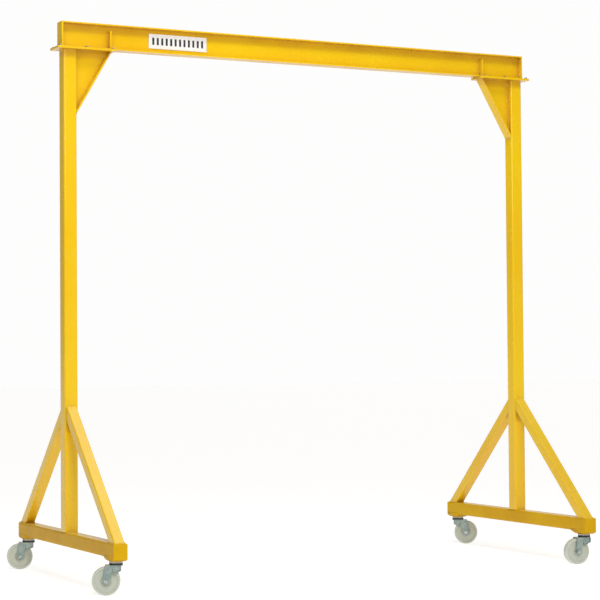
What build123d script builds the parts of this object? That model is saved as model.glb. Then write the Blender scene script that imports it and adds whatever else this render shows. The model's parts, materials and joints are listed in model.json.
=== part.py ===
"""Portable gantry crane, fixed height, on four swivel castors.

An I-section runway beam is bolted to two welded A-frames of square hollow section, each on two
castors with solid nylon wheels.  Millimetres, +Z up.  The origin is on the floor, below the
middle of the runway beam.  X runs along the beam, and the left frame is at -X.  The front is -Y.
"""

import os
from math import asin, cos, hypot, pi, radians, sin

from build123d import *

# ---- Overall sizes ----
overall_height = 2600.0
clear_span = 2400.0
base_length = 1300.0

# ---- Square hollow sections ----
post_size = 65.0
post_wall = 4.0
brace_size = 50.0
brace_wall = 3.0
corner_per_wall = 2.0

# ---- A-frame ----
brace_height = 810.0
brace_toe_inset = 8.0
cap_thickness = 4.0

# ---- Runway beam ----
beam_depth = 120.0
flange_width = 64.0
flange_thickness = 6.3
web_thickness = 4.4
root_radius = 7.0
end_plate_thickness = 8.0
stiffener_thickness = 8.0
stiffener_edge_gap = 2.0
stiffener_root_clearance = 1.0
stiffener_top_gap = 25.0
stiffener_inset = 4.0
end_plate_chamfer = 1.0

# ---- Knee joint between a post and the beam ----
seat_thickness = 5.0
joint_plate_length = 290.0
joint_plate_margin = 25.0
joint_plate_overhang = 35.0
joint_plate_corner = 4.0
knee_run = 175.0
knee_drop = 300.0
knee_web_thickness = 8.0
knee_flange_width = 58.0
knee_flange_thickness = 8.0

# ---- Joint bolts (M8) ----
bolt_radius = 4.0
bolt_clearance = 0.5
bolt_head_height = 5.3
bolt_across_flats = 13.0
bolt_washer_radius = 8.0
bolt_washer_thickness = 1.6
joint_bolt_edge = 12.0
joint_bolt_end = 15.0
joint_bolts_along = 3

# ---- Capacity plate on the front of the web ----
label_length = 300.0
label_height = 70.0
label_thickness = 1.5
label_from_post = 556.0
label_corner = 3.0

# ---- Castors ----
wheel_top_gap = 3.0
castor_end_distance = 56.0
castor_trail = 43.0
pad_thickness = 14.0
pad_inner_length = 66.0
pad_bevel = 34.0
pad_edge_bevel = 5.0
pad_end_bevel_length = 14.0
pad_end_bevel_height = 8.0
swivel_head_radius = 30.0
swivel_head_thickness = 7.0
swivel_head_chamfer = 1.5
running_clearance = 0.05

# ---- Swivel bearing ----
race_height = 9.5
race_gap = 0.4
race_radius = 30.0
race_bore = 24.0
kingpin_radius = 6.0
kingpin_grip = 12.0
kingpin_head_radius = 10.0
kingpin_head_height = 7.5
ball_side_gap = 0.3
ball_spacing_gap = 0.4

# ---- Fork ----
fork_thickness = 3.5
fork_gap = 42.0
crown_radius = 31.0
leg_front = 23.0
leg_neck = 10.0
leg_back = 48.0
leg_boss_radius = 15.0
front_wall_depth = 21.0
shoulder_depth = 36.0
leg_rim_height = 3.5

# ---- Wheel ----
wheel_radius = 62.5
wheel_width = 36.0
tread_edge_radius = 4.0
hub_radius = 21.0
hub_width = 40.0
tread_thickness = 10.5
web_recess = 3.0
bush_radius = 11.0
sleeve_radius = 8.0
axle_radius = 5.0
axle_head_height = 6.4
axle_flats = 17.0
axle_nut_height = 8.0
axle_end = 3.0

# ---- Trail direction of each castor, degrees from +X ----
castor_heading = {
    "front_left": 158.0,
    "rear_left": 163.0,
    "front_right": 172.0,
    "rear_right": -32.0,
}

# ---- Worked out from the sizes above ----
side_sign = {"left": -1, "right": 1}
end_sign = {"front": -1, "rear": 1}
half_base = base_length / 2
half_post = post_size / 2
post_face = clear_span / 2
post_x = post_face + half_post
beam_half = post_face + post_size
beam_bottom = overall_height - beam_depth
beam_middle = overall_height - beam_depth / 2
flange_top = beam_bottom + flange_thickness
web_height = beam_depth - 2 * flange_thickness
joint_top = beam_bottom - seat_thickness
joint_bottom = joint_top - seat_thickness
joint_plate_width = flange_width + 2 * joint_plate_margin
joint_plate_x = beam_half + joint_plate_overhang - joint_plate_length / 2
knee_toe = post_face - knee_run
fork_bottom_gap = 2 * wheel_radius + wheel_top_gap
castor_height = fork_bottom_gap + fork_thickness + race_height + swivel_head_thickness
rim_inner_radius = wheel_radius - tread_thickness
base_bottom = castor_height + pad_thickness
base_top = base_bottom + post_size
base_middle = base_bottom + half_post
castor_y = half_base - castor_end_distance
head_bottom = castor_height - swivel_head_thickness
crown_top = head_bottom - race_height
crown_bottom = crown_top - fork_thickness
ball_radius = (race_height - race_gap) / 2
ball_height = head_bottom - ball_radius
ball_circle = race_bore - ball_radius - ball_side_gap
ball_count = int(pi / asin((ball_radius + ball_spacing_gap / 2) / ball_circle))
leg_outer = fork_gap / 2 + fork_thickness
wall_foot = crown_bottom - front_wall_depth
shoulder_foot = crown_bottom - shoulder_depth


os.makedirs("parts", exist_ok=True)


def save(builder, label):
    """Give the finished piece its name and write its STEP file."""
    builder.part.label = label
    export_step(builder.part, f"parts/{label}.step")


def tube_profile(size, wall):
    """Square hollow section with rounded corners, for the sketch that is open."""
    outer_corner = corner_per_wall * wall
    bore = size - 2 * wall
    RectangleRounded(size, size, outer_corner)
    RectangleRounded(bore, bore, outer_corner - wall, mode=Mode.SUBTRACT)


def hexagon(across_flats):
    """Hexagon of a bolt head or a nut, for the sketch that is open."""
    RegularPolygon(across_flats / 2, 6, major_radius=False)


def joint_bolt_grid(side):
    """The joint bolts' places on the plates of one side, for the sketch that is open."""
    pitch = (joint_plate_length - 2 * joint_bolt_end) / (joint_bolts_along - 1)
    across = joint_plate_width - 2 * joint_bolt_edge
    with Locations((side_sign[side] * joint_plate_x, 0)):
        return GridLocations(pitch, across, joint_bolts_along, 2)


def castor_places():
    """Name, side and end of the four castors."""
    return [(f"{end}_{side}", side, end) for side in side_sign for end in end_sign]


def castor_centre(side, end):
    """Swivel axis of a castor on the floor plan."""
    return (side_sign[side] * post_x, end_sign[end] * castor_y)


# ------------------------------------------------------------------------------ runway beam
with BuildPart() as runway_beam:
    with BuildSketch(Plane.YZ.offset(-beam_half)) as section:
        with Locations((0, beam_middle)):
            Rectangle(web_thickness, beam_depth)
        flange_offset = (beam_depth - flange_thickness) / 2
        with Locations((0, beam_middle - flange_offset), (0, beam_middle + flange_offset)):
            Rectangle(flange_width, flange_thickness)
        roots = section.vertices().filter_by_position(Axis.Y, -web_thickness, web_thickness)
        fillet(roots, root_radius)
    extrude(amount=2 * beam_half)
save(runway_beam, "runway_beam")

for side, sign in side_sign.items():
    outward = Plane(origin=(sign * beam_half, 0, beam_middle), x_dir=(0, 1, 0), z_dir=(sign, 0, 0))
    with BuildPart() as end_plate:
        with BuildSketch(outward):
            Rectangle(flange_width, beam_depth)
        extrude(amount=end_plate_thickness)
        outer_face = end_plate.faces().sort_by(Axis((0, 0, 0), (sign, 0, 0)))[-1]
        chamfer(outer_face.edges(), end_plate_chamfer)
    save(end_plate, f"beam_end_plate_{side}")

    stiffener_width = (flange_width - web_thickness) / 2 - stiffener_edge_gap
    snipe = root_radius + stiffener_root_clearance
    with BuildPart() as stiffeners:
        with BuildSketch(Plane.YZ.offset(sign * (knee_toe + stiffener_inset))) as outline:
            for face_sign in (-1, 1):
                inner = face_sign * web_thickness / 2
                outer = inner + face_sign * stiffener_width
                low, high = flange_top, flange_top + web_height - stiffener_top_gap
                Polygon(
                    (inner, low + snipe),
                    (inner + face_sign * snipe, low),
                    (outer, low),
                    (outer, high),
                    (inner, high),
                    align=None,
                )
        extrude(amount=stiffener_thickness / 2, both=True)
    save(stiffeners, f"web_stiffeners_{side}")

label_x = -(post_x - label_from_post)
web_front = Plane(
    origin=(label_x, -web_thickness / 2, beam_middle), x_dir=(1, 0, 0), z_dir=(0, -1, 0)
)
with BuildPart() as capacity_plate:
    with BuildSketch(web_front):
        RectangleRounded(label_length, label_height, label_corner)
    extrude(amount=label_thickness)
save(capacity_plate, "capacity_plate")

# ------------------------------------------------------------------------- bolted knee joints
for side, sign in side_sign.items():
    joint_plates = (
        ("beam_seat", joint_top, bolt_radius + bolt_clearance),
        ("head_plate", joint_bottom, bolt_radius),
    )
    for label, bottom, hole_radius in joint_plates:
        with BuildPart() as joint_plate:
            with BuildSketch(Plane.XY.offset(bottom)):
                with Locations((sign * joint_plate_x, 0)):
                    RectangleRounded(joint_plate_length, joint_plate_width, joint_plate_corner)
                with joint_bolt_grid(side):
                    Circle(hole_radius, mode=Mode.SUBTRACT)
            extrude(amount=seat_thickness)
        save(joint_plate, f"{label}_{side}")

    hypotenuse = hypot(knee_run, knee_drop)
    web_run = knee_run - knee_flange_thickness * hypotenuse / knee_drop
    web_drop = knee_drop - knee_flange_thickness * hypotenuse / knee_run
    corner = (sign * post_face, joint_bottom)
    with BuildPart() as knee_web:
        with BuildSketch(Plane.XZ):
            Polygon(
                corner,
                (sign * (post_face - web_run), joint_bottom),
                (sign * post_face, joint_bottom - web_drop),
                align=None,
            )
        extrude(amount=knee_web_thickness / 2, both=True)
    save(knee_web, f"knee_web_{side}")

    with BuildPart() as knee_flange:
        with BuildSketch(Plane.XZ):
            Polygon(
                (sign * (post_face - web_run), joint_bottom),
                (sign * knee_toe, joint_bottom),
                (sign * post_face, joint_bottom - knee_drop),
                (sign * post_face, joint_bottom - web_drop),
                align=None,
            )
        extrude(amount=knee_flange_width / 2, both=True)
    save(knee_flange, f"knee_flange_{side}")

bolt_seat = beam_bottom + bolt_washer_thickness
bolt_length = bolt_seat - joint_bottom

with BuildPart() as joint_bolts:
    for side in side_sign:
        with BuildSketch(Plane.XY.offset(bolt_seat)):
            with joint_bolt_grid(side):
                hexagon(bolt_across_flats)
    extrude(amount=bolt_head_height)
    for side in side_sign:
        with BuildSketch(Plane.XY.offset(bolt_seat)):
            with joint_bolt_grid(side):
                Circle(bolt_radius)
    extrude(amount=-bolt_length)
save(joint_bolts, "joint_bolts")

with BuildPart() as joint_washers:
    for side in side_sign:
        with BuildSketch(Plane.XY.offset(beam_bottom)):
            with joint_bolt_grid(side):
                Circle(bolt_washer_radius)
                Circle(bolt_radius + bolt_clearance, mode=Mode.SUBTRACT)
    extrude(amount=bolt_washer_thickness)
save(joint_washers, "joint_washers")

# ----------------------------------------------------------------------------------- A-frames
brace_toe = half_base - brace_toe_inset
brace_run = brace_toe - half_post
brace_rise = brace_height - base_top
brace_length = hypot(brace_run, brace_rise)
for side, sign in side_sign.items():
    with BuildPart() as post:
        with BuildSketch(Plane.XY.offset(base_top)):
            with Locations((sign * post_x, 0)):
                tube_profile(post_size, post_wall)
        extrude(amount=joint_bottom - base_top)
    save(post, f"post_{side}")

    tube_end = cap_thickness - half_base
    tube_start = (sign * post_x, tube_end, base_middle)
    along_base = Plane(origin=tube_start, x_dir=(1, 0, 0), z_dir=(0, 1, 0))
    with BuildPart() as base_beam:
        with BuildSketch(along_base):
            tube_profile(post_size, post_wall)
        extrude(amount=-2 * tube_end)
    save(base_beam, f"base_beam_{side}")

    for end, facing in end_sign.items():
        downward = Vector(0, facing * brace_run, -brace_rise).normalized()
        inward = Vector(0, -facing * brace_rise, -brace_run).normalized()
        middle_y = facing * (half_post + brace_toe) / 2
        outer_middle = Vector(sign * post_x, middle_y, base_top + brace_rise / 2)
        centre = outer_middle + inward * (brace_size / 2)
        with BuildPart() as brace:
            with BuildSketch(Plane(origin=centre, x_dir=(1, 0, 0), z_dir=downward)):
                tube_profile(brace_size, brace_wall)
            extrude(amount=brace_length, both=True)
            split(bisect_by=Plane(origin=(0, facing * half_post, 0), z_dir=(0, facing, 0)))
            split(bisect_by=Plane.XY.offset(base_top))
        save(brace, f"{end}_brace_{side}")

cap_height = base_top - castor_height - pad_end_bevel_height
with BuildPart() as base_end_caps:
    for side, sign in side_sign.items():
        for facing in end_sign.values():
            cap_middle = (sign * post_x, facing * (half_base - cap_thickness / 2), base_top)
            with BuildSketch(Plane(origin=cap_middle, x_dir=(1, 0, 0), z_dir=(0, -1, 0))) as cap:
                with Locations((0, -cap_height / 2)):
                    Rectangle(post_size, cap_height)
                upper = cap.vertices().group_by(Axis.Y)[-1]
                fillet(upper, corner_per_wall * post_wall)
    extrude(amount=cap_thickness / 2, both=True)
save(base_end_caps, "base_end_caps")

# ----------------------------------------------------------------------------- castor pads
pad_inner = castor_y - pad_inner_length
pad_outer = half_base - cap_thickness
with BuildPart() as castor_pads:
    for side, sign in side_sign.items():
        for facing in end_sign.values():
            with BuildSketch(Plane.YZ.offset(sign * post_x)):
                Polygon(
                    (facing * pad_outer, base_bottom),
                    (facing * pad_outer, castor_height + pad_end_bevel_height),
                    (facing * (pad_outer - pad_end_bevel_length), castor_height),
                    (facing * (pad_inner + pad_bevel), castor_height),
                    (facing * pad_inner, base_bottom),
                    align=None,
                )
    extrude(amount=half_post, both=True)
    under = castor_pads.edges().filter_by(Axis.Y).group_by(Axis.Z)[0]
    chamfer(under, pad_edge_bevel)
    for name, side, end in castor_places():
        with BuildSketch(Plane.XY.offset(castor_height)):
            with Locations(castor_centre(side, end)):
                Circle(kingpin_radius)
    extrude(amount=kingpin_grip, mode=Mode.SUBTRACT)
save(castor_pads, "castor_pads")

# ------------------------------------------------------------------------------------ castors
with BuildPart() as kingpins:
    kingpin_foot = crown_bottom - race_gap - kingpin_head_height
    for name, side, end in castor_places():
        with BuildSketch(Plane.XY.offset(kingpin_foot)):
            with Locations(castor_centre(side, end)):
                Circle(kingpin_radius)
    extrude(amount=castor_height + kingpin_grip - kingpin_foot)
    for name, side, end in castor_places():
        with BuildSketch(Plane.XY.offset(kingpin_foot)):
            with Locations(castor_centre(side, end)):
                RegularPolygon(kingpin_head_radius, 6)
    extrude(amount=kingpin_head_height)
save(kingpins, "kingpins")

with BuildPart() as race_rings:
    for name, side, end in castor_places():
        with BuildSketch(Plane.XY.offset(crown_top + race_gap)):
            with Locations(castor_centre(side, end)):
                Circle(race_radius)
                Circle(race_bore, mode=Mode.SUBTRACT)
    extrude(amount=race_height - race_gap)
save(race_rings, "race_rings")

with BuildPart() as race_balls:
    for name, side, end in castor_places():
        with Locations((*castor_centre(side, end), ball_height)):
            with PolarLocations(ball_circle, ball_count):
                Sphere(ball_radius)
save(race_balls, "race_balls")

for name, side, end in castor_places():
    with BuildPart() as swivel_head:
        with BuildSketch(Plane.XY.offset(head_bottom)):
            with Locations(castor_centre(side, end)):
                Circle(swivel_head_radius)
                Circle(kingpin_radius, mode=Mode.SUBTRACT)
        extrude(amount=swivel_head_thickness)
        head_rim = swivel_head.edges().filter_by(GeomType.CIRCLE).sort_by(SortBy.RADIUS)[-2:]
        chamfer(head_rim.sort_by(Axis.Z)[-1], swivel_head_chamfer)
    save(swivel_head, f"swivel_head_{name}")

    heading = radians(castor_heading[name])
    trail = Vector(cos(heading), sin(heading), 0)
    swivel = Vector(*castor_centre(side, end), 0)
    swivel_plane = Plane(origin=swivel, x_dir=trail, z_dir=(0, 0, 1))
    side_plane = Plane(origin=swivel, x_dir=trail, z_dir=trail.cross(Vector(0, 0, 1)))
    axle_side = side_plane.z_dir

    with BuildPart() as fork:
        with BuildSketch(swivel_plane.offset(crown_bottom)):
            Circle(crown_radius)
            with Locations(((leg_back - leg_front) / 2, 0)):
                Rectangle(leg_back + leg_front, 2 * leg_outer)
            Circle(kingpin_radius + running_clearance, mode=Mode.SUBTRACT)
        extrude(amount=fork_thickness)
        for leg_start in (fork_gap / 2, -leg_outer):
            with BuildSketch(side_plane.offset(leg_start)):
                with BuildLine():
                    Polyline(
                        (leg_neck, crown_bottom),
                        (leg_back, crown_bottom),
                        (leg_back, crown_bottom + fork_thickness / 2),
                        (leg_neck, crown_bottom + fork_thickness / 2),
                        close=True,
                    )
                    CenterArc((castor_trail, wheel_radius), leg_boss_radius, 0, 360)
                make_hull()
                Polygon(
                    (-leg_front, crown_bottom + fork_thickness / 2),
                    (-leg_front, wall_foot),
                    (leg_neck + fork_thickness, shoulder_foot),
                    (leg_neck + fork_thickness, crown_bottom + fork_thickness / 2),
                    align=None,
                )
                with Locations((castor_trail, wheel_radius)):
                    Circle(axle_radius + running_clearance, mode=Mode.SUBTRACT)
        extrude(amount=fork_thickness)
        for rim_start in (leg_outer, -leg_outer - leg_rim_height):
            with BuildSketch(side_plane.offset(rim_start)):
                Polygon(
                    (-leg_front, crown_bottom),
                    (-leg_front, wall_foot),
                    (leg_neck, shoulder_foot),
                    (leg_neck, shoulder_foot + fork_thickness),
                    (-leg_front + fork_thickness, wall_foot + fork_thickness),
                    (-leg_front + fork_thickness, crown_bottom),
                    align=None,
                )
        extrude(amount=leg_rim_height)
        with BuildSketch(swivel_plane.offset(wall_foot)):
            with Locations((fork_thickness / 2 - leg_front, 0)):
                Rectangle(fork_thickness, 2 * leg_outer)
        extrude(amount=front_wall_depth + fork_thickness / 2)
    save(fork, f"fork_{name}")

    axle_centre = swivel + trail * castor_trail + Vector(0, 0, wheel_radius)
    axle_plane = Plane(origin=axle_centre, x_dir=trail, z_dir=axle_side)
    with BuildPart() as axle_bolt:
        with BuildSketch(axle_plane.offset(leg_outer)):
            hexagon(axle_flats)
        extrude(amount=axle_head_height)
        with BuildSketch(axle_plane.offset(leg_outer)):
            Circle(axle_radius)
        extrude(amount=-2 * leg_outer - axle_nut_height - axle_end)
    save(axle_bolt, f"axle_bolt_{name}")

    with BuildPart() as axle_nut:
        with BuildSketch(axle_plane.offset(-leg_outer)):
            hexagon(axle_flats)
            Circle(axle_radius, mode=Mode.SUBTRACT)
        extrude(amount=-axle_nut_height)
    save(axle_nut, f"axle_nut_{name}")

    with BuildPart() as axle_sleeve:
        with BuildSketch(axle_plane):
            Circle(sleeve_radius)
            Circle(axle_radius + running_clearance, mode=Mode.SUBTRACT)
        extrude(amount=fork_gap / 2, both=True)
    save(axle_sleeve, f"axle_sleeve_{name}")

    recess_floor = wheel_width / 2 - web_recess
    with BuildPart() as wheel:
        with BuildSketch(Plane(origin=axle_centre, x_dir=trail, z_dir=(0, 0, 1))):
            with BuildLine():
                Polyline(
                    (bush_radius, -hub_width / 2),
                    (hub_radius, -hub_width / 2),
                    (hub_radius + web_recess, -recess_floor),
                    (rim_inner_radius - web_recess, -recess_floor),
                    (rim_inner_radius, -wheel_width / 2),
                    (wheel_radius, -wheel_width / 2),
                    (wheel_radius, wheel_width / 2),
                    (rim_inner_radius, wheel_width / 2),
                    (rim_inner_radius - web_recess, recess_floor),
                    (hub_radius + web_recess, recess_floor),
                    (hub_radius, hub_width / 2),
                    (bush_radius, hub_width / 2),
                    close=True,
                )
            make_face()
        revolve(axis=Axis(axle_centre, axle_side))
        tread = wheel.faces().filter_by(GeomType.CYLINDER).sort_by(SortBy.RADIUS)[-1]
        tread_rims = tread.edges().filter_by(GeomType.CIRCLE)
        fillet(tread_rims, tread_edge_radius)
    save(wheel, f"wheel_{name}")

    with BuildPart() as wheel_bush:
        with BuildSketch(axle_plane):
            Circle(bush_radius)
            Circle(sleeve_radius + running_clearance, mode=Mode.SUBTRACT)
        extrude(amount=hub_width / 2, both=True)
    save(wheel_bush, f"wheel_bush_{name}")
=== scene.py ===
"""Portable gantry crane: finishes, weld beads, capacity plate marks, floor, light and camera.

Metres, in the frame of the CAD model: +X along the runway beam, -Y to the front, +Z up.
"""

import json
from math import cos, pi, radians, sin

import bmesh
import bpy
from mathutils import Matrix, Vector

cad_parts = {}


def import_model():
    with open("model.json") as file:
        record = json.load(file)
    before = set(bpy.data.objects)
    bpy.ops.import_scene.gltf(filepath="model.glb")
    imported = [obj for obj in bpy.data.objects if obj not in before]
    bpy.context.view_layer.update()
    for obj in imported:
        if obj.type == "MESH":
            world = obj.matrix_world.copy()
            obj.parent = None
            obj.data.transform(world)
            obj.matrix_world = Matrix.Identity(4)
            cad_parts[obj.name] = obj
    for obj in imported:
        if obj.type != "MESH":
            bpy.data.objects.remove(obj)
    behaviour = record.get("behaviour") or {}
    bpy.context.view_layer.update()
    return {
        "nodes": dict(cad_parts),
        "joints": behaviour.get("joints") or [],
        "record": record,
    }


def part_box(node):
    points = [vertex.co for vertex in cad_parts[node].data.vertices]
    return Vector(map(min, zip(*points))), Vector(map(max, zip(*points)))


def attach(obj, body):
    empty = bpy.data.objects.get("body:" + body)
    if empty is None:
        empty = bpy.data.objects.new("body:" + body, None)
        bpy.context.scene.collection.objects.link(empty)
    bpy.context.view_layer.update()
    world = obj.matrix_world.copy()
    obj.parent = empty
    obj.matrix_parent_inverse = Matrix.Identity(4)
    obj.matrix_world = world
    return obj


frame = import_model()

MM = 0.001
SIDES = ("left", "right")
ENDS = ("front", "rear")

# ---- Colours of the finishes, linear RGB ----
YELLOW = (0.935, 0.625, 0.003)
YELLOW_DEEP = (0.900, 0.535, 0.002)
YELLOW_DUSTY = (0.90, 0.70, 0.26)
# Painted shade for the base, darker than the frame above it.
YELLOW_BASE_SHADE = (0.46, 0.19, 0.001)
# Painted shadow under the overhangs of flanges and plates.
OVERHANG_SHADE = (0.50, 0.235, 0.010)
# Painted shade for the paint's corners, and also the colour of the scuffs near the floor.
SHADE_AND_SCUFF = (0.42, 0.20, 0.02)
PRIMER = (0.30, 0.27, 0.24)
ZINC = (0.25, 0.33, 0.31)
ZINC_WARM = (0.40, 0.46, 0.40)
# Painted shade for the corners of zinc parts.
ZINC_CORNER_SHADE = (0.12, 0.16, 0.15)
# Tan tint of the swivel heads' zinc: a painted reflection of the yellow paint above them.
HEAD_ZINC_YELLOW_REFLECTION = (0.62, 0.58, 0.46)
FASTENER_ZINC = (0.66, 0.67, 0.69)
STEEL = (0.50, 0.50, 0.52)
GREASE = (0.30, 0.26, 0.18)
# Near-black of the swivel race shield, standing in for the shade in the gap between the top plate
# and the fork crown.
SHIELD_SHADE_BLACK = (0.018, 0.018, 0.018)
SHIELD_DUSTY = (0.060, 0.056, 0.050)
NYLON = (0.56, 0.59, 0.49)
NYLON_TREAD = (0.66, 0.68, 0.60)
# Dirt on the tread, and painted shade in the wheel's corners.
NYLON_DIRT_AND_SHADE = (0.25, 0.27, 0.21)
BUSH = (0.62, 0.62, 0.56)
BUSH_DIRT = (0.42, 0.41, 0.36)
PLATE_WHITE = (0.93, 0.94, 0.93)
PLATE_DUSTY = (0.86, 0.87, 0.86)
PLATE_EDGE = (0.45, 0.43, 0.38)
MARK_DARK = (0.018, 0.021, 0.028)
MARK_WORN = (0.060, 0.066, 0.076)
FLOOR = (0.50, 0.50, 0.50)
FLOOR_GLOW = (1.0, 0.995, 0.985)
FLOOR_GLOW_STRENGTH = 0.72

# ---- Where the paint darkens, as painted shade on the base and as scuffs near the floor: none at the first height above the floor, full at the second ----
BASE_SHADE_Z = (0.2268, 0.2250)
SCUFF_Z = (0.30, 0.14)

# ---- Where the nylon changes: none at the first distance from the axle, full at the second ----
TREAD_RADIUS = (56.0 * MM, 60.5 * MM)
HUB_DARK_RADIUS = (30.0 * MM, 20.0 * MM)
WORN_RADIUS = (59.5 * MM, 62.0 * MM)
TURNING_MARKS = 5200.0

# ---- Rounding of sharp edges in the shading, and the edges that count as worn ----
PAINT_ROUND = 1.2 * MM
ZINC_ROUND = 0.8 * MM
NYLON_ROUND = 0.9 * MM
CHIP_WIDTH = 1.6 * MM
PLATE_EDGE_WIDTH = 1.5 * MM

# ---- Reach of the painted shade in corners and of the painted shadow under overhangs ----
PAINT_CORNER = 0.02
SMALL_CORNER = 0.012
SHELTER_REACH = 0.045
SHELTER_TILT = (0.0, 0.0, 1.2)

# ---- Capacity plate: bars as shares of the plate's length and height ----
MARK_COUNT = 12
MARK_WIDTH = 0.036
MARK_HEIGHT = 0.50
MARK_ROUNDING = 0.32
MARK_CORNER_STEPS = 6
MARK_PROUD = 0.15 * MM
MARK_SINK = 0.1 * MM

# ---- Weld beads ----
WELD_LEG = 5.0 * MM
WELD_PITCH = 5.0 * MM
WELD_SINK = 0.4 * MM
WELD_ROOT = 0.86
WELD_END = 0.55
WELD_UNEVEN = 0.05
THIN_LEG = 0.8 * WELD_LEG
TOE_LEG = 0.9 * WELD_LEG
POST_CORNER = 8.0 * MM
BRACE_SIZE = 50.0 * MM
BRACE_CORNER = 6.0 * MM
KNEE_END_FROM = 4.0 * MM
KNEE_END_SHORT = 2.0 * MM
STIFFENER_SNIPE = 8.0 * MM
STIFFENER_SHORT = 2.0 * MM
HALF_WEB = 2.2 * MM
SEAT_SHORT = 12.0 * MM

# ---- Flush seam between the base and its pads ----
SEAM_LOW = 1.0 * MM
SEAM_HIGH = 9.0 * MM
SEAM_RUNOUT = 2.5 * MM
SEAM_DEPTH = 6.0 * MM
SEAM_CREST = 0.25 * MM
SEAM_FROM = 529.0 * MM
SEAM_SHORT = 0.5 * MM

# ---- Camera: metres, degrees and millimetres ----
CAMERA_PLACE = (-4.1867, -8.2704, 1.0183)
CAMERA_YAW = 26.692
CAMERA_PITCH = 1.809
CAMERA_ROLL = -0.435
CAMERA_LENS = 112.52
SENSOR = 36.0

# ---- Light: the sky brightens along SKY_TOWARDS, and lamps are in watts ----
SKY_LOW = 0.16
SKY_HIGH = 0.75
SKY_TOWARDS = (0.80, 0.60)
SKY_FROM = 0.15
SKY_TO = 0.95
SKY_COLOUR = (1.0, 0.985, 0.965)
BACKDROP = (0.985, 0.985, 0.982)
KEY_DIRECTION = (0.16, 0.62, -0.95)
KEY_STRENGTH = 0.80
KEY_ANGLE = 18.0
SOFTBOX_PLACE = (-1.5, -4.2, 3.0)
SOFTBOX_TARGET = (0.2, 0.0, 1.4)
SOFTBOX_SIZE = 1.5
SOFTBOX_POWER = 62.0
OVERHEAD_PLACE = (-0.4, -0.6, 4.6)
OVERHEAD_SIZE = 2.4
OVERHEAD_POWER = 45.0
FLOOR_HALF = 60.0
FLOOR_CELLS = 24

X = Vector((1, 0, 0))
Y = Vector((0, 1, 0))
Z = Vector((0, 0, 1))


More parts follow.
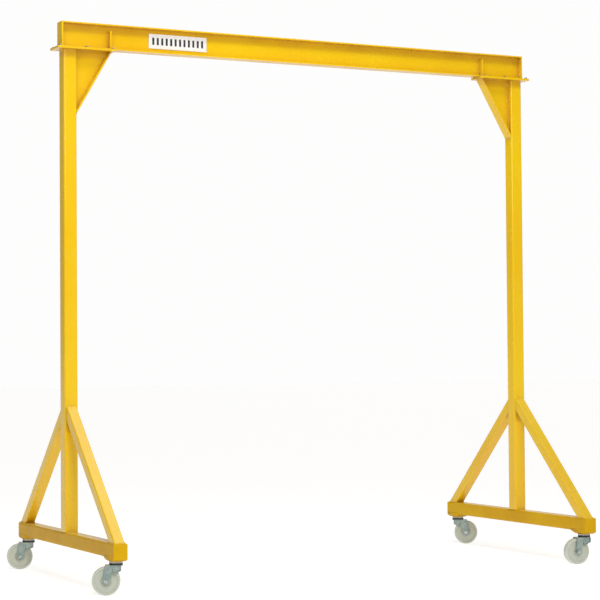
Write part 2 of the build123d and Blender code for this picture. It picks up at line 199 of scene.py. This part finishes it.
# ------------------------------------------------------------------------------ material nodes
class Graph:
    """A new node material, with a short way to add and join its nodes."""

    def __init__(self, name):
        self.material = bpy.data.materials.new(name)
        self.material.use_nodes = True
        self.tree = self.material.node_tree
        self.tree.nodes.clear()
        self.output = self.tree.nodes.new("ShaderNodeOutputMaterial")
        self.object = self.add("ShaderNodeTexCoord").outputs["Object"]

    def add(self, kind, inputs=None, **settings):
        """A node. Each input is a constant, or an output socket to link from."""
        node = self.tree.nodes.new(kind)
        for key, value in settings.items():
            setattr(node, key, value)
        for key, value in (inputs or {}).items():
            socket = node.inputs[key]
            if isinstance(value, bpy.types.NodeSocket):
                self.tree.links.new(value, socket)
            else:
                socket.default_value = value
        return node

    def noise(self, scale, detail=3.0, rough=0.5):
        """Noise between 0 and 1. The scale is in features to the metre."""
        inputs = {"Vector": self.object, "Scale": scale, "Detail": detail, "Roughness": rough}
        return self.add("ShaderNodeTexNoise", inputs).outputs["Fac"]

    def ramp(self, value, low, high, to_low=0.0, to_high=1.0):
        """The value stretched from low..high to to_low..to_high, clamped."""
        inputs = {
            "Value": value,
            "From Min": low,
            "From Max": high,
            "To Min": to_low,
            "To Max": to_high,
        }
        return self.add("ShaderNodeMapRange", inputs).outputs["Result"]

    def math(self, operation, a, b=0.0):
        """One operation on two values."""
        return self.add("ShaderNodeMath", {0: a, 1: b}, operation=operation).outputs[0]

    def times(self, a, b):
        """The product of two values."""
        return self.math("MULTIPLY", a, b)

    def vector(self, operation, a, b=(0.0, 0.0, 0.0)):
        """One operation on two vectors: the node, since its result may be a vector or a value."""
        return self.add("ShaderNodeVectorMath", {0: a, 1: b}, operation=operation)

    def mix(self, factor, a, b):
        """Colour a where the factor is 0 and colour b where it is 1."""
        node = self.add("ShaderNodeMix", data_type="RGBA")
        for socket, value in zip((node.inputs[0], node.inputs[6], node.inputs[7]), (factor, a, b)):
            if isinstance(value, bpy.types.NodeSocket):
                self.tree.links.new(value, socket)
            elif isinstance(value, tuple):
                socket.default_value = (*value, 1.0)
            else:
                socket.default_value = value
        return node.outputs[2]

    def bump(self, height, distance, strength=1.0, normal=None):
        """A bumped normal. The distance is the height's full size in metres."""
        inputs = {"Height": height, "Distance": distance, "Strength": strength}
        if normal is not None:
            inputs["Normal"] = normal
        return self.add("ShaderNodeBump", inputs).outputs["Normal"]

    def true_normal(self):
        """The surface's own normal."""
        return self.add("ShaderNodeNewGeometry").outputs["Normal"]

    def rounded(self, radius):
        """The normal as it would be if every sharp edge had the radius."""
        return self.add("ShaderNodeBevel", {"Radius": radius}, samples=4).outputs["Normal"]

    def edges(self, radius):
        """1 on a convex or concave edge, 0 on a face."""
        alike = self.vector("DOT_PRODUCT", self.rounded(radius), self.true_normal())
        return self.ramp(alike.outputs["Value"], 0.985, 0.90)

    def open_air(self, distance):
        """1 in the open and 0 deep in a corner."""
        node = self.add("ShaderNodeAmbientOcclusion", {"Distance": distance}, samples=6)
        return node.outputs["AO"]

    def sheltered(self, distance):
        """1 under an overhang that is nearer than the distance, and 0 under open sky."""
        tilted = self.vector("ADD", self.true_normal(), SHELTER_TILT).outputs[0]
        upward = self.vector("NORMALIZE", tilted).outputs[0]
        inputs = {"Distance": distance, "Normal": upward}
        node = self.add("ShaderNodeAmbientOcclusion", inputs, samples=8)
        return self.ramp(node.outputs["AO"], 0.80, 0.35)

    def facing_up(self):
        """1 on a surface that faces up."""
        z = self.add("ShaderNodeSeparateXYZ", {0: self.true_normal()}).outputs["Z"]
        return self.ramp(z, 0.6, 0.95)

    def height(self):
        """Height in the model's frame."""
        return self.add("ShaderNodeSeparateXYZ", {0: self.object}).outputs["Z"]

    def surface(self, **inputs):
        """The Principled shader, with spaces in its socket names written as underscores."""
        named = {key.replace("_", " "): value for key, value in inputs.items()}
        for key, value in named.items():
            if isinstance(value, tuple) and len(value) == 3 and "Color" in key:
                named[key] = (*value, 1.0)
        shader = self.add("ShaderNodeBsdfPrincipled", named)
        self.tree.links.new(shader.outputs[0], self.output.inputs["Surface"])
        return self.material


def yellow_paint():
    """Gloss enamel on steel: colour drift, orange peel, dust on top, painted shade in corners,
    painted shadow under overhangs, a base painted darker as shade, scuffs and chips.
    """
    g = Graph("yellow_paint")
    colour = g.mix(g.ramp(g.noise(1.6, 2.0), 0.3, 0.7), YELLOW, YELLOW_DEEP)
    dust = g.times(g.facing_up(), g.ramp(g.noise(22.0, 4.0), 0.30, 0.75, 0.10, 0.40))
    colour = g.mix(dust, colour, YELLOW_DUSTY)
    # Painted shade in the corners, darker where parts meet, in patches.
    corner = g.ramp(g.open_air(PAINT_CORNER), 0.70, 0.20, 0.0, 0.40)
    patchy = g.ramp(g.noise(40.0), 0.2, 0.7, 0.4, 1.0)
    colour = g.mix(g.times(corner, patchy), colour, SHADE_AND_SCUFF)
    # Painted shadow under overhangs: the paint darkened in patches beneath flanges and plates.
    patchy = g.ramp(g.noise(5.0, 3.0), 0.3, 0.7, 0.50, 0.75)
    colour = g.mix(g.times(g.sheltered(SHELTER_REACH), patchy), colour, OVERHANG_SHADE)
    # Painted shade: the base below its top edge painted darker, in patches, for the light falling
    # off towards the floor.
    base = g.ramp(g.height(), *BASE_SHADE_Z)
    darkening = g.ramp(g.noise(7.0, 3.0), 0.3, 0.7, 0.32, 0.52)
    colour = g.mix(g.times(base, darkening), colour, YELLOW_BASE_SHADE)
    scuffs = g.ramp(g.noise(90.0, 5.0, 0.65), 0.60, 0.72, 0.0, 0.35)
    colour = g.mix(g.times(g.ramp(g.height(), *SCUFF_Z), scuffs), colour, SHADE_AND_SCUFF)
    chips = g.times(g.edges(CHIP_WIDTH), g.ramp(g.noise(160.0, 5.0, 0.7), 0.71, 0.76))
    colour = g.mix(chips, colour, PRIMER)
    rough = g.ramp(g.noise(9.0, 3.0), 0.3, 0.7, 0.20, 0.30)
    rough = g.math("MAXIMUM", rough, g.times(dust, 1.1))
    rough = g.math("MAXIMUM", rough, g.times(base, 0.42))
    peel = g.bump(g.noise(420.0, 2.0), 0.03 * MM, 0.7, g.rounded(PAINT_ROUND))
    normal = g.bump(g.noise(14.0, 2.0), 0.12 * MM, 0.6, peel)
    return g.surface(
        Base_Color=colour,
        Roughness=rough,
        Normal=normal,
        Specular_IOR_Level=g.ramp(base, 0.0, 1.0, 0.42, 0.12),
        Coat_Weight=g.ramp(base, 0.0, 1.0, 0.15, 0.0),
        Coat_Roughness=0.12,
    )


def zinc(name, shade, rough_low, rough_high, scale):
    """Zinc plate: cloudy, a little warm in patches, painted shade in corners, with fine marks."""
    g = Graph(name)
    colour = g.mix(g.ramp(g.noise(scale, 3.0), 0.35, 0.70), shade, ZINC_WARM)
    # Painted shade in the corners.
    corner = g.ramp(g.open_air(SMALL_CORNER), 0.85, 0.30, 0.0, 0.7)
    colour = g.mix(corner, colour, ZINC_CORNER_SHADE)
    rough = g.ramp(g.noise(scale * 2.5, 4.0, 0.6), 0.3, 0.7, rough_low, rough_high)
    normal = g.bump(g.noise(700.0, 2.0), 0.02 * MM, 0.8, g.rounded(ZINC_ROUND))
    return g.surface(Base_Color=colour, Metallic=0.9, Roughness=rough, Normal=normal)


def steel():
    """Ground bearing steel with a film of grease."""
    g = Graph("bearing_steel")
    colour = g.mix(g.ramp(g.noise(160.0), 0.4, 0.7), STEEL, GREASE)
    rough = g.ramp(g.noise(220.0), 0.3, 0.7, 0.12, 0.30)
    return g.surface(Base_Color=colour, Metallic=1.0, Roughness=rough)


def dark_shield():
    """Black dust shield of the swivel race; its near-black stands in for the shade in the gap
    between the top plate and the fork crown.
    """
    g = Graph("bearing_black")
    colour = g.mix(g.ramp(g.noise(140.0, 4.0), 0.35, 0.75), SHIELD_SHADE_BLACK, SHIELD_DUSTY)
    rough = g.ramp(g.noise(260.0), 0.3, 0.7, 0.45, 0.65)
    normal = g.bump(g.noise(900.0), 0.03 * MM, 0.6)
    return g.surface(Base_Color=colour, Roughness=rough, Normal=normal)


def nylon(place):
    """Cast nylon: greenish white, worn tread, darker round the hub, painted shade in corners,
    faint turning marks.
    """
    g = Graph(f"nylon_{place}")
    low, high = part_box(f"wheel_{place}")
    axle = (low + high) / 2
    roll = [joint for joint in frame["joints"] if joint["name"] == f"{place}_wheel_roll"][0]
    arm = g.vector("SUBTRACT", g.object, tuple(axle)).outputs[0]
    across = g.vector("CROSS_PRODUCT", arm, tuple(roll["axis"])).outputs[0]
    radius = g.vector("LENGTH", across).outputs["Value"]
    cloud = g.ramp(g.noise(26.0, 3.0), 0.3, 0.7)
    colour = g.mix(cloud, NYLON, tuple(0.93 * c for c in NYLON))
    colour = g.mix(g.times(g.ramp(radius, *TREAD_RADIUS), 0.85), colour, NYLON_TREAD)
    # Darker round the hub, in patches.
    darkening = g.ramp(radius, *HUB_DARK_RADIUS, 0.0, 0.55)
    darkening = g.times(darkening, g.ramp(g.noise(120.0, 4.0), 0.25, 0.7, 0.3, 1.0))
    colour = g.mix(darkening, colour, NYLON_DIRT_AND_SHADE)
    worn = g.ramp(g.noise(75.0, 5.0, 0.7), 0.52, 0.68, 0.0, 0.5)
    colour = g.mix(g.times(g.ramp(radius, *WORN_RADIUS), worn), colour, NYLON_DIRT_AND_SHADE)
    # Painted shade in the corners.
    corner = g.ramp(g.open_air(SMALL_CORNER), 0.75, 0.25, 0.0, 0.5)
    colour = g.mix(corner, colour, NYLON_DIRT_AND_SHADE)
    rough = g.ramp(g.noise(60.0, 3.0), 0.3, 0.7, 0.38, 0.52)
    ring = g.math("SINE", g.times(radius, TURNING_MARKS))
    turned = g.bump(ring, 0.015 * MM, 0.5, g.rounded(NYLON_ROUND))
    normal = g.bump(g.noise(300.0, 3.0), 0.05 * MM, 0.5, turned)
    return g.surface(
        Base_Color=colour,
        Roughness=rough,
        Normal=normal,
        Subsurface_Weight=0.12,
        Subsurface_Radius=(0.004, 0.004, 0.003),
        Subsurface_Scale=1.0,
    )


def bush_plastic():
    """Plain bearing shell."""
    g = Graph("bush_plastic")
    colour = g.mix(g.ramp(g.noise(180.0), 0.3, 0.7), BUSH, BUSH_DIRT)
    rough = g.ramp(g.noise(200.0), 0.3, 0.7, 0.40, 0.55)
    return g.surface(Base_Color=colour, Roughness=rough)


def plate_white():
    """White enamelled sheet, slightly dusty, greyer at its edges."""
    g = Graph("plate_white")
    colour = g.mix(g.ramp(g.noise(30.0, 4.0), 0.35, 0.75), PLATE_WHITE, PLATE_DUSTY)
    colour = g.mix(g.times(g.edges(PLATE_EDGE_WIDTH), 0.5), colour, PLATE_EDGE)
    rough = g.ramp(g.noise(50.0), 0.3, 0.7, 0.28, 0.42)
    normal = g.bump(g.noise(350.0), 0.02 * MM, 0.5)
    return g.surface(Base_Color=colour, Roughness=rough, Normal=normal)


def mark_dark():
    """Dark printing ink."""
    g = Graph("mark_dark")
    colour = g.mix(g.ramp(g.noise(120.0, 4.0), 0.4, 0.8), MARK_DARK, MARK_WORN)
    rough = g.ramp(g.noise(150.0), 0.3, 0.7, 0.35, 0.50)
    return g.surface(Base_Color=colour, Roughness=rough)


def finish_nodes():
    """Gives every CAD node its finished material, and returns the paint."""
    paint = yellow_paint()
    shared = {
        "yellow_paint": paint,
        "plate_white": plate_white(),
        "castor_zinc": zinc("castor_zinc", ZINC, 0.18, 0.32, 30.0),
        # The swivel heads' tan zinc carries a painted reflection of the yellow paint.
        "swivel_head": zinc("swivel_head", HEAD_ZINC_YELLOW_REFLECTION, 0.30, 0.42, 60.0),
        "fastener_zinc": zinc("fastener_zinc", FASTENER_ZINC, 0.26, 0.40, 90.0),
        "bearing_steel": steel(),
        "bearing_black": dark_shield(),
        "bush_plastic": bush_plastic(),
    }
    slots = {entry["node"]: entry["material_slot"] for entry in frame["record"]["subparts"]}
    for name, piece in frame["nodes"].items():
        if name.startswith("swivel_head"):
            material = shared["swivel_head"]
        else:
            material = shared.get(slots[name]) or nylon(name.removeprefix("wheel_"))
        piece.data.materials.clear()
        piece.data.materials.append(material)
    return paint


# ---------------------------------------------------------------------------------- weld beads
def piece_from(mesh, name, material, body="frame"):
    """A new piece from a bmesh: smooth, finished, and riding on its body."""
    data = bpy.data.meshes.new(name)
    mesh.to_mesh(data)
    mesh.free()
    for face in data.polygons:
        face.use_smooth = True
    piece = bpy.data.objects.new(name, data)
    bpy.context.scene.collection.objects.link(piece)
    data.materials.append(material)
    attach(piece, body)
    return piece


def skin(mesh, rings):
    """Faces between rings of vertices that follow each other, with both ends closed."""
    for ring, after in zip(rings, rings[1:]):
        for k in range(len(ring)):
            n = (k + 1) % len(ring)
            mesh.faces.new((ring[k], ring[n], after[n], after[k]))
    mesh.faces.new(rings[0][::-1])
    mesh.faces.new(rings[-1])


def wobble(index):
    """A small repeatable unevenness between -1 and 1."""
    return sin(index * 2.399) * 0.6 + sin(index * 0.731 + 1.7) * 0.4


def bead(mesh, start, end, way_a, way_b, leg=WELD_LEG):
    """One fillet bead along a corner, from start to end.

    way_a and way_b point from the corner along its two faces.
    """
    start, end = Vector(start), Vector(end)
    along = end - start
    count = max(2, round(along.length / WELD_PITCH)) * 2
    outward = (way_a + way_b).normalized()
    rings = []
    for index in range(count + 1):
        crest = 1.0 if index % 2 else WELD_ROOT
        uneven = WELD_UNEVEN * wobble(index + 37.0 * start.x + 91.0 * start.z)
        size = leg * crest * (1.0 + uneven)
        if index in (0, count):
            size *= WELD_END
        centre = start + along * (index / count) - outward * WELD_SINK
        profile = [
            centre,
            centre + way_a * size,
            centre + (way_a * 0.80 + way_b * 0.34) * size,
            centre + (way_a * 0.56 + way_b * 0.56) * size,
            centre + (way_a * 0.34 + way_b * 0.80) * size,
            centre + way_b * size,
        ]
        rings.append([mesh.verts.new(point) for point in profile])
    skin(mesh, rings)


def seam(mesh, start, end, way):
    """Ground-flush weld along the groove between a pad and the rounded lower edge of its tube."""
    rings = []
    for point in (Vector(start), Vector(end)):
        profile = [
            point - Z * SEAM_LOW,
            point + way * SEAM_CREST + Z * SEAM_CREST,
            point + way * SEAM_CREST + Z * (SEAM_HIGH - SEAM_RUNOUT),
            point + Z * SEAM_HIGH,
            point - way * SEAM_DEPTH + Z * SEAM_CREST,
        ]
        rings.append([mesh.verts.new(corner) for corner in profile])
    skin(mesh, rings)


def reach(low, high, way):
    """The end of the span low..high that lies the given way, -1 or 1."""
    return high if way > 0 else low


def post_welds(mesh, low, high, out):
    """The post's foot on the base, and its top under the head plate."""
    x_from, x_to = low.x + POST_CORNER, high.x - POST_CORNER
    for facing in (-1, 1):
        y = reach(low.y, high.y, facing)
        bead(mesh, (x_from, y, low.z), (x_to, y, low.z), Y * facing, Z)
        bead(mesh, (x_from, y, high.z), (x_to, y, high.z), Y * facing, -Z)
    x = reach(low.x, high.x, out)
    y_from, y_to = low.y + POST_CORNER, high.y - POST_CORNER
    bead(mesh, (x, y_from, high.z), (x, y_to, high.z), X * out, -Z)


def knee_welds(mesh, side, out, post_x):
    """Both faces of the knee web, and the lower end of the knee flange on the post."""
    web_low, web_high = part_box(f"knee_web_{side}")
    flange_low, flange_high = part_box(f"knee_flange_{side}")
    toe_x = reach(web_low.x, web_high.x, -out)
    for facing in (-1, 1):
        face_y = reach(web_low.y, web_high.y, facing)
        top = Vector((post_x, face_y, web_high.z))
        foot = Vector((post_x, face_y, web_low.z))
        toe = Vector((toe_x, face_y, web_high.z))
        bead(mesh, foot, top, Y * facing, X * -out)
        bead(mesh, top, toe, Y * facing, -Z)
        along = (toe - foot).normalized()
        inward = Vector((along.z * out, 0, along.x * -out))
        bead(mesh, foot, toe, Y * facing, inward)
        y_from, y_to = facing * KNEE_END_FROM, facing * (flange_high.y - KNEE_END_SHORT)
        upper = X * -out * 0.6 + Z * 0.8
        bead(mesh, (post_x, y_from, web_low.z), (post_x, y_to, web_low.z), upper, Z)
    z = flange_low.z
    lower = X * -out * 0.5 + Z * -0.2
    bead(mesh, (post_x, flange_low.y, z), (post_x, flange_high.y, z), lower, -Z)


def brace_welds(mesh, side, end):
    """All round a brace's head on the post, and its toe on the base."""
    facing = -1 if end == "front" else 1
    low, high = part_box(f"{end}_brace_{side}")
    head_y = reach(low.y, high.y, -facing)
    toe_y = reach(low.y, high.y, facing)
    down = Vector((0, toe_y - head_y, low.z - high.z)).normalized()
    head_foot = high.z - BRACE_SIZE / abs(down.y)
    toe_inner = toe_y - facing * BRACE_SIZE / abs(down.z)
    for edge in (-1, 1):
        x = reach(low.x, high.x, edge)
        z_from, z_to = head_foot + BRACE_CORNER, high.z - BRACE_CORNER
        bead(mesh, (x, head_y, z_from), (x, head_y, z_to), X * edge, Y * facing)
        y_from, y_to = toe_inner + facing * BRACE_CORNER, toe_y - facing * BRACE_CORNER
        bead(mesh, (x, y_from, low.z), (x, y_to, low.z), X * edge, Z)
    x_from, x_to = low.x + BRACE_CORNER, high.x - BRACE_CORNER
    for y, z, way_a, way_b, leg in (
        (head_y, high.z, Z, down, WELD_LEG),
        (head_y, head_foot, -Z, down, THIN_LEG),
        (toe_inner, low.z, Y * -facing, -down, WELD_LEG),
        (toe_y, low.z, Y * facing, -down, TOE_LEG),
    ):
        bead(mesh, (x_from, y, z), (x_to, y, z), way_a, way_b, leg)


def pad_seams(mesh, side):
    """Flush seams between the base and the pads under its ends."""
    base_low, base_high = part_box(f"base_beam_{side}")
    pad_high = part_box("castor_pads")[1]
    for facing in (-1, 1):
        y_from, y_to = facing * SEAM_FROM, facing * (pad_high.y - SEAM_SHORT)
        for x, way in ((base_low.x, -X), (base_high.x, X)):
            seam(mesh, (x, y_from, base_low.z), (x, y_to, base_low.z), way)


def stiffener_welds(mesh, side):
    """Stiffeners to the beam's web and to its lower flange."""
    low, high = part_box(f"web_stiffeners_{side}")
    for facing in (-1, 1):
        web_y = facing * HALF_WEB
        snipe_y = facing * (HALF_WEB + STIFFENER_SNIPE)
        z_from, z_to = low.z + STIFFENER_SNIPE, high.z - STIFFENER_SHORT
        for x, way in ((low.x, -X), (high.x, X)):
            bead(mesh, (x, web_y, z_from), (x, web_y, z_to), way, Y * facing, THIN_LEG)
            bead(mesh, (x, snipe_y, low.z), (x, facing * high.y, low.z), way, Z, THIN_LEG)


def seat_welds(mesh, side, out):
    """The beam's lower flange to its seat."""
    seat_low, seat_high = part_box(f"beam_seat_{side}")
    beam_low, beam_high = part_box("runway_beam")
    x_from = reach(seat_low.x, seat_high.x, -out) + out * SEAT_SHORT
    x_to = reach(beam_low.x, beam_high.x, out)
    for facing in (-1, 1):
        y = reach(beam_low.y, beam_high.y, facing)
        bead(mesh, (x_from, y, beam_low.z), (x_to, y, beam_low.z), Y * facing, Z)


def welds_of_side(side, paint):
    """All beads of one A-frame and its knee joint."""
    out = -1 if side == "left" else 1
    mesh = bmesh.new()
    post_low, post_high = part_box(f"post_{side}")
    post_welds(mesh, post_low, post_high, out)
    knee_welds(mesh, side, out, reach(post_low.x, post_high.x, -out))
    for end in ENDS:
        brace_welds(mesh, side, end)
    pad_seams(mesh, side)
    stiffener_welds(mesh, side)
    seat_welds(mesh, side, out)
    bmesh.ops.recalc_face_normals(mesh, faces=mesh.faces)
    piece_from(mesh, f"weld_beads_{side}", paint)


# ------------------------------------------------------------------------------- capacity plate
def bar(mesh, x, z, width, height, front, back):
    """One upright bar with rounded corners, centred on x and z, from front to back in y."""
    corner = width * MARK_ROUNDING
    outline = []
    for quadrant in range(4):
        corner_x = x + (width / 2 - corner) * (1 if quadrant in (0, 3) else -1)
        corner_z = z + (height / 2 - corner) * (1 if quadrant in (0, 1) else -1)
        for step in range(MARK_CORNER_STEPS + 1):
            angle = (quadrant + step / MARK_CORNER_STEPS) * pi / 2
            outline.append((corner_x + corner * cos(angle), corner_z + corner * sin(angle)))
    rings = [[mesh.verts.new((px, y, pz)) for px, pz in outline] for y in (front, back)]
    skin(mesh, rings)


def plate_marks():
    """A plain row of equal upright bars printed on the capacity plate, with no lettering."""
    low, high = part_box("capacity_plate")
    middle = (low + high) / 2
    mesh = bmesh.new()
    length = high.x - low.x
    height = (high.z - low.z) * MARK_HEIGHT
    pitch = length / (MARK_COUNT + 1)
    front, back = low.y - MARK_PROUD, low.y + MARK_SINK
    for index in range(MARK_COUNT):
        x = low.x + pitch * (index + 1)
        bar(mesh, x, middle.z, length * MARK_WIDTH, height, front, back)
    bmesh.ops.recalc_face_normals(mesh, faces=mesh.faces)
    piece = piece_from(mesh, "capacity_marks", mark_dark())
    for face in piece.data.polygons:
        face.use_smooth = False


# -------------------------------------------------------------------------------- scene around
def look_along(direction):
    """Rotation of a light that shines along the direction."""
    return Vector(direction).to_track_quat("-Z", "Y")


def add_light(name, kind, energy, place, rotation, **settings):
    """One lamp."""
    lamp = bpy.data.lights.new(name, kind)
    lamp.energy = energy
    for key, value in settings.items():
        setattr(lamp, key, value)
    holder = bpy.data.objects.new(name, lamp)
    holder.rotation_mode = "QUATERNION"
    holder.location = place
    holder.rotation_quaternion = rotation
    bpy.context.scene.collection.objects.link(holder)


def floor():
    """Pale studio floor, level with the bottoms of the wheels."""
    mesh = bmesh.new()
    bmesh.ops.create_grid(mesh, x_segments=FLOOR_CELLS, y_segments=FLOOR_CELLS, size=FLOOR_HALF)
    data = bpy.data.meshes.new("floor")
    mesh.to_mesh(data)
    mesh.free()
    piece = bpy.data.objects.new("floor", data)
    bpy.context.scene.collection.objects.link(piece)
    g = Graph("floor")
    colour = g.mix(g.ramp(g.noise(0.7, 2.0), 0.3, 0.7), FLOOR, tuple(0.99 * c for c in FLOOR))
    surface = g.surface(
        Base_Color=colour,
        Roughness=0.75,
        Specular_IOR_Level=0.1,
        Emission_Color=FLOOR_GLOW,
        Emission_Strength=FLOOR_GLOW_STRENGTH,
    )
    data.materials.append(surface)


def world():
    """White backdrop for the camera, and an even soft sky for the light."""
    sky = bpy.data.worlds.new("studio")
    bpy.context.scene.world = sky
    sky.use_nodes = True
    new, link = sky.node_tree.nodes.new, sky.node_tree.links.new
    sky.node_tree.nodes.clear()
    seen = new("ShaderNodeBackground")
    seen.inputs["Color"].default_value = (*BACKDROP, 1.0)
    lit = new("ShaderNodeBackground")
    lit.inputs["Color"].default_value = (*SKY_COLOUR, 1.0)
    towards = new("ShaderNodeVectorMath")
    towards.operation = "DOT_PRODUCT"
    towards.inputs[1].default_value = (*SKY_TOWARDS, 0.0)
    link(new("ShaderNodeTexCoord").outputs["Generated"], towards.inputs[0])
    brightness = new("ShaderNodeMapRange")
    link(towards.outputs["Value"], brightness.inputs["Value"])
    for socket, value in (
        ("From Min", SKY_FROM),
        ("From Max", SKY_TO),
        ("To Min", SKY_LOW),
        ("To Max", SKY_HIGH),
    ):
        brightness.inputs[socket].default_value = value
    link(brightness.outputs["Result"], lit.inputs["Strength"])
    mix = new("ShaderNodeMixShader")
    link(new("ShaderNodeLightPath").outputs["Is Camera Ray"], mix.inputs[0])
    link(lit.outputs[0], mix.inputs[1])
    link(seen.outputs[0], mix.inputs[2])
    link(mix.outputs[0], new("ShaderNodeOutputWorld").inputs["Surface"])


def camera():
    """Camera at the left front, a metre above the floor, looking slightly up."""
    yaw, pitch, roll = (radians(v) for v in (CAMERA_YAW, CAMERA_PITCH, CAMERA_ROLL))
    forward = Vector((sin(yaw) * cos(pitch), cos(yaw) * cos(pitch), sin(pitch)))
    right = Vector((cos(yaw), -sin(yaw), 0.0))
    up = right.cross(forward)
    turned_right = right * cos(roll) + up * sin(roll)
    turned_up = up * cos(roll) - right * sin(roll)
    lens = bpy.data.cameras.new("camera")
    lens.lens = CAMERA_LENS
    lens.sensor_width = SENSOR
    lens.clip_end = 200.0
    holder = bpy.data.objects.new("camera", lens)
    holder.matrix_world = Matrix.Translation(CAMERA_PLACE) @ Matrix(
        (turned_right, turned_up, -forward)
    ).transposed().to_4x4()
    bpy.context.scene.collection.objects.link(holder)
    bpy.context.scene.camera = holder


def lights():
    """Broad sun from high in front, a softbox at the left front, and a lamp overhead."""
    turn = look_along(KEY_DIRECTION)
    add_light("key", "SUN", KEY_STRENGTH, (0, -6, 6), turn, angle=radians(KEY_ANGLE))
    turn = look_along(Vector(SOFTBOX_TARGET) - Vector(SOFTBOX_PLACE))
    add_light("softbox", "AREA", SOFTBOX_POWER, SOFTBOX_PLACE, turn, size=SOFTBOX_SIZE)
    turn = look_along(-Z)
    add_light("overhead", "AREA", OVERHEAD_POWER, OVERHEAD_PLACE, turn, size=OVERHEAD_SIZE)


paint = finish_nodes()
for side in SIDES:
    welds_of_side(side, paint)
plate_marks()
floor()
world()
camera()
lights()
bpy.context.scene.view_settings.view_transform = "Standard"
